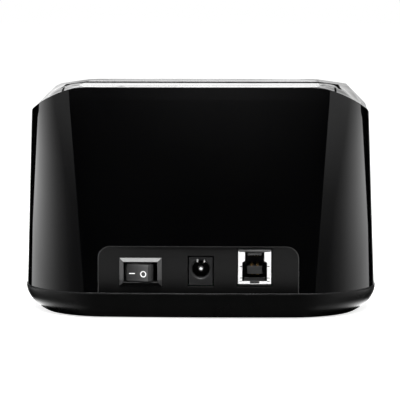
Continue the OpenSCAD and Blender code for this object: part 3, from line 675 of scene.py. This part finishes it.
BEAD_Y, BEAD_ROUND = 40.4, 4.5
bead_centre = (PANEL_HALF - PANEL_ROUND, PANEL_TOP - PANEL_ROUND)
edge_path = [(bead_centre[0] + BEAD_ROUND, BEAD_Y, z) for z in (9.7, 13, 17, 20)]
for i in range(11):
    turn = math.pi / 2 * i / 10
    edge_path.append((
        bead_centre[0] + BEAD_ROUND * math.cos(turn), BEAD_Y, bead_centre[1] + BEAD_ROUND * math.sin(turn)))
edge_path += [(x, BEAD_Y, bead_centre[1] + BEAD_ROUND) for x in (24, 16, 8, 0)]
edge_path += [(-x, y, z) for x, y, z in edge_path[-2::-1]]
# Painted highlight: the bead round the panel's edge is a much lighter grey than the plate, standing in for the
# light the edge catches; its gloss adds some real shine as well.
panel_edge_highlight, tree, shader = new_finish("panel_edge", (0.055, 0.055, 0.055), 0.45)
shader.inputs["Specular IOR Level"].default_value = 0.3
mottle(tree, specks(tree, 6, 3), (0.046, 0.046, 0.046), (0.064, 0.064, 0.064), shader.inputs["Base Color"])
thin_bead("panel_bead", edge_path, 0.14, False, panel_edge_highlight)


# Switch
# A snap-in rocker switch: a black nylon housing with a sloping bezel, and a rocker on trunnions.
# The rocker carries a printed dash and ring, and two red leads run from its blades to the board.
switch_black, tree, shader = new_finish("switch_nylon", (0.045, 0.045, 0.046), 0.3)
shader.inputs["Specular IOR Level"].default_value = 0.45
# Painted shade: the housing's base colour is near black on faces that turn down or straight up, and darker
# below 14 mm, where shade falls.
tones(tree, [("Normal", "Z", [
    (-1, 0.004), (-0.4, 0.004), (-0.2, 0.058), (0.2, 0.058),
    (0.45, 0.056), (0.75, 0.056), (0.9, 0.004), (1, 0.004)]),
    ("Object", "Z", [(12, 0.25), (14.1, 0.25), (14.6, 0.9), (18, 1.0), (22.4, 1.0)])],
    shader.inputs["Base Color"])
tones(tree, [("Normal", "Z", [(-1, 0.3), (0.75, 0.3), (0.9, 0.9), (1, 0.9)])], shader.inputs["Roughness"])
emboss(tree, specks(tree, 0.3, 3), 0.003, shader)
dress("switch_housing", switch_black)
ease("switch_housing", 0.12)
rocker_black, tree, shader = new_finish("rocker_nylon", (0.018, 0.018, 0.0185), 0.45)
shader.inputs["Specular IOR Level"].default_value = 0.25
# Painted light and shade: the rocker's base colour is lighter towards its raised end, a lighter strip along its
# top edge is a painted highlight and the black band above it a painted shadow, faces turned towards minus X are
# darker and faces turned part way to plus X lighter, and its bottom is a little darker.
tones(tree, [
    ("Object", "X", [(16.3, 0.074), (18.2, 0.072), (21, 0.048), (25, 0.023), (26.4, 0.023)]),
    ("Object", "Z", [
        (12.9, 0.8), (14, 0.9), (19.3, 1.0), (19.7, 1.3), (20.05, 1.3), (20.15, 0.03), (21.5, 0.03)]),
    ("Normal", "X", [(-1, 0.35), (-0.3, 0.4), (-0.1, 1.0), (0.5, 1.0), (0.7, 1.3), (1, 0.5)])],
    shader.inputs["Base Color"])
spread(tree, specks(tree, 2.5, 4), 0.38, 0.50, shader.inputs["Roughness"])
emboss(tree, specks(tree, 0.3, 3), 0.005, shader)
dress("switch_rocker", rocker_black)
ease("switch_rocker", 0.2)
nickel, tree, shader = new_finish("nickel_plate", (0.80, 0.79, 0.77), 0.28, 1.0)
mottle(tree, specks(tree, 2.5, 4), (0.74, 0.73, 0.71), (0.84, 0.83, 0.81), shader.inputs["Base Color"])
spread(tree, specks(tree, 0.5, 4, (1, 1, 8)), 0.20, 0.38, shader.inputs["Roughness"])
dress("switch_terminals", nickel)
lead_red, tree, shader = new_finish("red_lead", (0.35, 0.02, 0.02), 0.4)
spread(tree, specks(tree, 1.2, 3), 0.3, 0.5, shader.inputs["Roughness"])
dress("switch_leads", lead_red)

mark_white, tree, shader = new_finish("printed_white", (0.85, 0.85, 0.85), 0.5)
mottle(tree, specks(tree, 0.2, 3), (0.78, 0.78, 0.78), (0.90, 0.90, 0.90), shader.inputs["Base Color"])


def printed_mark(name, loops, along, away, centre):
    """A thin printed mark on one flat of the rocker: an outer loop and an inner one, or none."""
    points, faces = [], []
    for lift in (0.005, 0.035):
        for loop in loops:
            points += [(
                centre[0] + u * along[0] + lift * away[0], centre[1] + u * along[1] + lift * away[1],
                centre[2] + v) for u, v in loop]
    n = len(loops[0])
    if len(loops) == 1:
        faces = [tuple(range(n)), tuple(range(n, 2 * n))] + [
            (i, (i + 1) % n, n + (i + 1) % n, n + i) for i in range(n)]
    else:
        for i in range(n):
            j = (i + 1) % n
            faces += [(i, j, n + j, n + i), (2 * n + i, 2 * n + j, 3 * n + j, 3 * n + i),
                      (i, j, 2 * n + j, 2 * n + i), (n + i, n + j, 3 * n + j, 3 * n + i)]
    return make_piece(name, points, faces, "rocker", mark_white)


ROCKER_X, ROCKER_Y, ROCKER_CROWN, ROCKER_REACH = 20.9, 37.8, 4.4, 3.9
lean, dish = math.radians(13), math.radians(4)
valley = ROCKER_CROWN - ROCKER_REACH * math.tan(dish)
fold = (ROCKER_X + valley * math.sin(lean), ROCKER_Y + valley * math.cos(lean))
raised = (-math.cos(lean + dish), math.sin(lean + dish))
sunk = (math.cos(lean - dish), -math.sin(lean - dish))
RING_ALONG, RING_Z, RING_RADII = 2.12, 16.62, (1.16, 0.80)
DASH_ALONG, DASH_Z = 2.15, 16.75
circle = [(math.cos(math.tau * i / 40), math.sin(math.tau * i / 40)) for i in range(40)]
ring_loops = [[(r * u, r * v) for u, v in circle] for r in RING_RADII]
ring_at = (fold[0] + RING_ALONG * raised[0], fold[1] + RING_ALONG * raised[1], RING_Z)
printed_mark("rocker_ring", ring_loops, raised, (math.sin(lean + dish), math.cos(lean + dish)), ring_at)
dash = [
    (-1.08, -0.14), (-1.04, -0.16), (1.04, -0.16), (1.08, -0.14),
    (1.08, 0.14), (1.04, 0.16), (-1.04, 0.16), (-1.08, 0.14)]
dash_at = (fold[0] + DASH_ALONG * sunk[0], fold[1] + DASH_ALONG * sunk[1], DASH_Z)
printed_mark("rocker_dash", [dash], sunk, (math.sin(lean - dish), math.cos(lean - dish)), dash_at)


# Power jack
# A black moulded block with a round bore, a nickel centre pin and two sprung leaves.
# It is soldered to the board and looks out through the middle hole of the panel.
jack_black, tree, shader = new_finish("jack_nylon", (0.0125, 0.0125, 0.013), 0.5)
shader.inputs["Specular IOR Level"].default_value = 0.35
mottle(tree, specks(tree, 3, 4), (0.0105, 0.0105, 0.011), (0.0145, 0.0145, 0.015), shader.inputs["Base Color"])
spread(tree, specks(tree, 2, 4), 0.42, 0.56, shader.inputs["Roughness"])
emboss(tree, specks(tree, 0.3, 3), 0.006, shader)
dress("jack_body", jack_black)
ease("jack_body", 0.12)
tin_plate, tree, shader = new_finish("tin_plate", (0.90, 0.90, 0.89), 0.42, 0.25)
mottle(tree, specks(tree, 2.0, 4), (0.86, 0.86, 0.85), (0.93, 0.93, 0.92), shader.inputs["Base Color"])
spread(tree, specks(tree, 0.5, 4, (1, 1, 6)), 0.34, 0.48, shader.inputs["Roughness"])
dress("jack_spring", tin_plate)
pin_tin, tree, shader = new_finish("pin_tin", (0.9, 0.9, 0.89), 0.35, 0.25)
# Painted highlight and shade: faces of the pin that look straight back are painted near white, and all its
# other faces near black.
tones(tree, [("Normal", "Y", [(-1, 0.10), (0.85, 0.10), (0.97, 0.92), (1, 0.92)])], shader.inputs["Base Color"])
spread(tree, specks(tree, 0.4, 4), 0.28, 0.42, shader.inputs["Roughness"])
dress("jack_pin", pin_tin)


# Data port
# A can folded from nickel plated steel round a black moulded tongue.
# Gold contacts lie along the tongue.
can_tin, tree, shader = new_finish("can_tin", (0.90, 0.90, 0.89), 0.42, 0.25)
# Painted shade: the can's base colour is near black along its bottom edge, as a painted shadow, and dark grey
# along its top edge; the plated white lies between.
tones(tree, [("Object", "Z", [
    (12.3, 0.01), (12.9, 0.01), (13.05, 0.90), (24.7, 0.90), (24.85, 0.12), (25.4, 0.12)])],
    shader.inputs["Base Color"])
spread(tree, specks(tree, 0.5, 4, (1, 1, 6)), 0.34, 0.48, shader.inputs["Roughness"])
dress("usb_shell", can_tin)
ease("usb_shell", 0.1)
tongue_black, tree, shader = new_finish("tongue_nylon", (0.02, 0.02, 0.021), 0.5)
# The tongue's base colour is darker towards the bottom of the port and about three times lighter over its top
# few millimetres.
tones(tree, [("Object", "Z", [
    (12.7, 0.012), (16, 0.022), (22, 0.024), (23, 0.075), (25, 0.075)])], shader.inputs["Base Color"])
spread(tree, specks(tree, 3, 4), 0.42, 0.58, shader.inputs["Roughness"])
emboss(tree, specks(tree, 0.3, 3), 0.006, shader)
dress("usb_insulator", tongue_black)
ease("usb_insulator", 0.1)


# Hinge cover and lamp
# A fixed glossy strip closes the roof behind the flap.
# A small clear lamp looks up through it, on a board of its own with two white leads.
cover_xs = [0, 10, 20, 30, 38, 42, 43.2, 44, 45, 46, 47, 48, 48.6, 49.1]
COVER_GAP, COVER_EDGE, COVER_THICK = 0.3, 0.15, 2.2
cover_points, cover_faces = [], []
for x in [-x for x in cover_xs[:0:-1]] + cover_xs:
    front, rear = COVER_FRONT, bay_rear(x) - COVER_GAP
    front_z, rear_z = roof_height(x, front), roof_height(x, rear)
    section = [(front, front_z - COVER_THICK), (front, front_z - COVER_EDGE)]
    for i in range(11):
        y = front + COVER_EDGE + (rear - front - 2 * COVER_EDGE) * i / 10
        section.append((y, roof_height(x, y)))
    section += [(rear, rear_z - COVER_EDGE), (rear, rear_z - COVER_THICK)]
    cover_points += [(x, y, z) for y, z in section]
wide, deep = 2 * len(cover_xs) - 1, 15
for c in range(wide - 1):
    for r in range(deep):
        q = (r + 1) % deep
        cover_faces.append((c * deep + r, c * deep + q, (c + 1) * deep + q, (c + 1) * deep + r))
cover_faces += [tuple(range(deep)), tuple(range((wide - 1) * deep, wide * deep))]
cover_skin = make_piece("cover_skin", cover_points, cover_faces, "dock", gloss_black, 50)
LAMP_X, LAMP_Y, LAMP_HOLE = 28.2, 31.75, 1.55
drill = bpy.data.objects.new("lamp_drill", bpy.data.meshes.new("lamp_drill"))
bored = bmesh.new()
bmesh.ops.create_cone(
    bored, cap_ends=True, segments=48, radius1=LAMP_HOLE * MM, radius2=LAMP_HOLE * MM, depth=20 * MM)
bmesh.ops.translate(bored, verts=bored.verts, vec=(LAMP_X * MM, LAMP_Y * MM, ROOF_Z * MM))
bored.to_mesh(drill.data)
bored.free()
bpy.context.scene.collection.objects.link(drill)
hole = cover_skin.modifiers.new("lamp_hole", "BOOLEAN")
hole.operation = "DIFFERENCE"
hole.object = drill
plain_cover = cover_skin.data
bored_cover = cover_skin.evaluated_get(bpy.context.evaluated_depsgraph_get())
cover_skin.data = bpy.data.meshes.new_from_object(bored_cover)
cover_skin.modifiers.remove(hole)
bpy.data.meshes.remove(plain_cover)
bpy.data.objects.remove(drill)
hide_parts("hinge_cover")
lamp_clear, tree, shader = new_finish("lamp_clear", (0.30, 0.34, 0.40), 0.12)
shader.inputs["Transmission Weight"].default_value = 0.7
spread(tree, specks(tree, 0.6, 3), 0.08, 0.2, shader.inputs["Roughness"])
LENS_R, FLANGE_R, DOME_Z, DOME_RISE, LENS_TURNS = 1.5, 1.9, 83.5, 0.3, 40
lens_profile = [(FLANGE_R, 79.8), (FLANGE_R, 80.55), (LENS_R, 80.6), (LENS_R, DOME_Z)]
for i in range(1, 8):
    turn = math.pi / 2 * i / 8
    lens_profile.append((LENS_R * math.cos(turn), DOME_Z + DOME_RISE * math.sin(turn)))
tall = len(lens_profile)
lens_points, lens_faces = [], []
for i in range(LENS_TURNS):
    turn = math.tau * i / LENS_TURNS
    lens_points += [(LAMP_X + r * math.cos(turn), LAMP_Y + r * math.sin(turn), z) for r, z in lens_profile]
    k, n = i * tall, (i + 1) % LENS_TURNS * tall
    lens_faces += [(k + r, n + r, n + r + 1, k + r + 1) for r in range(tall - 1)]
lens_faces += [tuple(i * tall + end for i in range(LENS_TURNS)) for end in (0, tall - 1)]
lamp_lens = make_piece("lamp_lens", lens_points, lens_faces, "dock", lamp_clear)
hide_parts("status_led")
lead_white, tree, shader = new_finish("white_lead", (0.75, 0.75, 0.72), 0.4)
spread(tree, specks(tree, 1.2, 3), 0.3, 0.5, shader.inputs["Roughness"])
dress("led_leads", lead_white)


# Flap
# A glossy plate follows the roof and swings down into the bay when a thick drive pushes it.
# Three knuckles turn on a steel rod, and two coiled springs lift it shut.
dress("flap", gloss_black)
ease("flap", 0.12)
steel, tree, shader = new_finish("drawn_steel", (0.60, 0.61, 0.63), 0.3, 1.0)
mottle(tree, specks(tree, 1.5, 4), (0.54, 0.55, 0.57), (0.66, 0.67, 0.69), shader.inputs["Base Color"])
spread(tree, specks(tree, 0.4, 4, (0.15, 1, 1)), 0.22, 0.42, shader.inputs["Roughness"])
for node in ("flap_rod", "flap_springs", "crystal", "case_screws", "board_screws", "guide_screws"):
    dress(node, steel)


# Studio
# A pale floor that keeps the object's shadow, a white surround, and soft panels at the sides and overhead.
# Dark cards behind the camera and beside the panels, and a glowing strip on the floor at each rear corner,
# show only in the shine of the case.
def card(name, corners, material, shine_only, faces=None):
    """A sheet of the studio through its corners, in metres; one flat face unless faces are given."""
    mesh = bpy.data.meshes.new(name)
    mesh.from_pydata(corners, [], faces or [tuple(range(len(corners)))])
    sheet = bpy.data.objects.new(name, mesh)
    bpy.context.scene.collection.objects.link(sheet)
    mesh.materials.append(material)
    if shine_only:
        sheet.visible_camera = False
        sheet.visible_diffuse = False
        sheet.visible_transmission = False
        sheet.visible_volume_scatter = False
        sheet.visible_shadow = False
    return sheet


def seen_white(tree):
    """1 for the rays that see a background: straight from the camera, mirrored, or through glass."""
    light = tree.nodes.new("ShaderNodeLightPath")
    either = tree.nodes.new("ShaderNodeMath")
    either.operation = "MAXIMUM"
    tree.links.new(light.outputs["Is Camera Ray"], either.inputs[0])
    tree.links.new(light.outputs["Is Glossy Ray"], either.inputs[1])
    any_of = tree.nodes.new("ShaderNodeMath")
    any_of.operation = "MAXIMUM"
    tree.links.new(either.outputs["Value"], any_of.inputs[0])
    tree.links.new(light.outputs["Is Transmission Ray"], any_of.inputs[1])
    return any_of.outputs["Value"]


scene = bpy.context.scene
scene.view_settings.view_transform = "Standard"
world = bpy.data.worlds.new("studio_surround")
scene.world = world
world.use_nodes = True
tree = world.node_tree
level = tree.nodes.new("ShaderNodeMapRange")
level.inputs["To Min"].default_value = 0.35
level.inputs["To Max"].default_value = 1.0
tree.links.new(seen_white(tree), level.inputs["Value"])
tree.links.new(level.outputs["Result"], tree.nodes["Background"].inputs["Strength"])
tree.nodes["Background"].inputs["Color"].default_value = (1, 1, 1, 1)

floor_white = bpy.data.materials.new("floor_white")
floor_white.use_nodes = True
tree = floor_white.node_tree
shader = tree.nodes["Principled BSDF"]
shader.inputs["Base Color"].default_value = (0.85, 0.85, 0.85, 1)
shader.inputs["Roughness"].default_value = 0.9
shader.inputs["Specular IOR Level"].default_value = 0
shader.inputs["Emission Color"].default_value = (1, 1, 1, 1)
glow = tree.nodes.new("ShaderNodeMath")
glow.operation = "MULTIPLY"
glow.inputs[1].default_value = 0.75
tree.links.new(seen_white(tree), glow.inputs[0])
tree.links.new(glow.outputs["Value"], shader.inputs["Emission Strength"])
floor = card("floor", [(-6, -6, 0), (6, -6, 0), (6, 6, 0), (-6, 6, 0)], floor_white, False)
floor.visible_glossy = False

card_black = bpy.data.materials.new("card_black")
card_black.use_nodes = True
shader = card_black.node_tree.nodes["Principled BSDF"]
shader.inputs["Base Color"].default_value = (0.001, 0.001, 0.001, 1)
shader.inputs["Specular IOR Level"].default_value = 0


def glowing(name, strength, falls, least=None):
    """A glow that fades by the falls, each an axis, from, to and levels; least is the dimmest it gets."""
    made = bpy.data.materials.new(name)
    made.use_nodes = True
    tree = made.node_tree
    tree.nodes.remove(tree.nodes["Principled BSDF"])
    light = tree.nodes.new("ShaderNodeEmission")
    where = tree.nodes.new("ShaderNodeTexCoord")
    split = tree.nodes.new("ShaderNodeSeparateXYZ")
    tree.links.new(where.outputs["Object"], split.inputs["Vector"])
    level = None
    for axis, start, end, levels in falls:
        ramp = grey_ramp(tree, split.outputs[axis], start, end, levels)
        level = blend_greys(tree, level, ramp, "MULTIPLY") if level else ramp
    if least:
        axis, start, end, levels = least
        level = blend_greys(tree, level, grey_ramp(tree, split.outputs[axis], start, end, levels), "LIGHTEN")
    tree.links.new(level, light.inputs["Color"])
    light.inputs["Strength"].default_value = strength
    tree.links.new(light.outputs["Emission"], tree.nodes["Material Output"].inputs["Surface"])
    return made


ACROSS = ("Y", 0.68, -0.45, [
    (0.0, 0.04), (0.159, 0.06), (0.248, 0.085), (0.31, 0.14), (0.38, 0.22), (0.442, 0.34), (0.504, 0.5),
    (0.557, 0.63), (0.602, 0.73), (0.673, 0.87), (0.823, 1.0), (1.0, 1.0)])
UPWARDS = ("Z", -0.2, 0.1, [
    (0.0, 0.06), (0.333, 0.5), (0.48, 0.6), (0.553, 0.75),
    (0.647, 0.95), (0.733, 1.0), (0.833, 0.8), (1.0, 0.7)])
DIM_LEFT = ("Z", -0.17, 0.1, [
    (0.0, 0.005), (0.5, 0.038), (0.63, 0.052), (0.74, 0.10), (0.835, 0.17), (1.0, 0.2)])
DIM_RIGHT = ("Z", -0.17, 0.1, [
    (0.0, 0.005), (0.5, 0.05), (0.63, 0.10), (0.74, 0.22), (0.835, 0.31), (1.0, 0.34)])
STRIP_CLEAR, STRIP_MORE, STRIP_OUT, STRIP_DROP = 2.4, 3.2, 14, -3
floor_glow = glowing("floor_glow", 4.8, [
    ("Z", -0.003, 0.0, [(0.0, 0.0), (0.4, 0.3), (0.8, 1.0), (1.0, 1.0)]),
    ("X", -0.06, 0.06, [
        (0.0, 1.0), (0.025, 0.65), (0.092, 0.35), (0.133, 0.12), (0.167, 0.0),
        (0.833, 0.0), (0.867, 0.12), (0.908, 0.35), (0.975, 0.65), (1.0, 1.0)])])
for side, strength, dim in ((-1, 2.3, DIM_RIGHT), (1, 2.9, DIM_LEFT)):
    name = "left" if side > 0 else "right"
    near, turn, far = (side * 0.36, 0.68), (side * 0.6, -0.21), (side * 0.72, -0.655)
    panel = card(
        "side_panel_" + name,
        [(*near, -0.6), (*far, -0.6), (*far, -0.07), (*turn, 0.05), (*turn, 1.0), (*near, 1.0)],
        glowing("side_panel_glow_" + name, strength, [ACROSS, UPWARDS], dim), False)
    panel.visible_camera = False
    panel.visible_shadow = False
    mid, back = (side * 0.74, -0.66), (side * 0.40, -0.90)
    behind = (side * 0.62, -0.21)
    card("dark_card_" + name, [(*behind, -0.6), (*mid, -0.6), (*mid, 1.0), (*behind, 1.0)], card_black, True)
    card("dark_end_" + name, [(*mid, -0.6), (*back, -0.6), (*back, 1.0), (*mid, 1.0)], card_black, True)
    strip = []
    for place in [("rear corner", i / 16) for i in range(17)] + [("side", i / 16) for i in range(1, 9)]:
        clear = STRIP_CLEAR + (STRIP_MORE * (1 - place[1]) if place[0] == "rear corner" else 0)
        for out, z in ((clear, 0), (STRIP_OUT, STRIP_DROP)):
            x, y, _z = base_point(place, BASE_FOOT, -BASE_SKIN - out)
            strip.append((side * x * MM, y * MM, z * MM))
    card("floor_glow_" + name, strip, floor_glow, True, [
        (i, i + 1, i + 3, i + 2) for i in range(0, len(strip) - 2, 2)])
haze = glowing("camera_card_haze", 0.17, [
    ("Z", -0.02, 0.13, [(0.0, 0.0), (0.4, 0.2), (0.75, 0.62), (1.0, 1.0)]),
    ("X", -0.4, 0.4, [(0.0, 0.3), (0.15, 0.4), (0.4, 1.0), (0.6, 0.9), (0.85, 0.35), (1.0, 0.3)])])
card("dark_card_camera", [(-1, 1.6, -0.6), (1, 1.6, -0.6), (1, 1.6, 1.0), (-1, 1.6, 1.0)], haze, True)
sky = glowing("far_card_glow", 2.4, [
    ("Z", 0.168, 0.2, [
        (0.0, 0.185), (0.172, 0.21), (0.234, 0.21), (0.297, 0.38),
        (0.344, 0.66), (0.406, 0.94), (0.69, 0.94), (1.0, 0.52)]),
    ("X", -0.135, -0.085, [(0.0, 0.68), (1.0, 1.0)])],
    ("X", -0.14, 0.26, [(0.0, 0.25), (0.05, 0.25), (0.1, 0.0), (0.875, 0.0), (1.0, 0.31)]))
card("far_card", [(-1.2, -2, -1), (1.2, -2, -1), (1.2, -2, 2), (-1.2, -2, 2)], sky, True)
card("dark_card_below", [(-3, -3, -0.6), (3, -3, -0.6), (3, 3, -0.6), (-3, 3, -0.6)], card_black, True)

overhead = bpy.data.lights.new("overhead", "AREA")
overhead.shape = "RECTANGLE"
overhead.size = 0.7
overhead.size_y = 0.5
overhead.energy = 14
lamp = bpy.data.objects.new("overhead", overhead)
bpy.context.scene.collection.objects.link(lamp)
lamp.location = (0, 0.45, 0.9)
lamp.rotation_euler = (Vector((0, 0, 0.05)) - lamp.location).to_track_quat("-Z", "Y").to_euler()
lamp.visible_camera = False

lens = bpy.data.cameras.new("camera")
lens.sensor_width = 36
lens.lens = 186.9
lens.clip_start = 0.01
camera = bpy.data.objects.new("camera", lens)
bpy.context.scene.collection.objects.link(camera)
camera.location = (-0.0235, 0.785, 0.1196)
camera.rotation_euler = Vector((0.0307, -1, -0.1023)).to_track_quat("-Z", "Y").to_euler()
scene.camera = camera
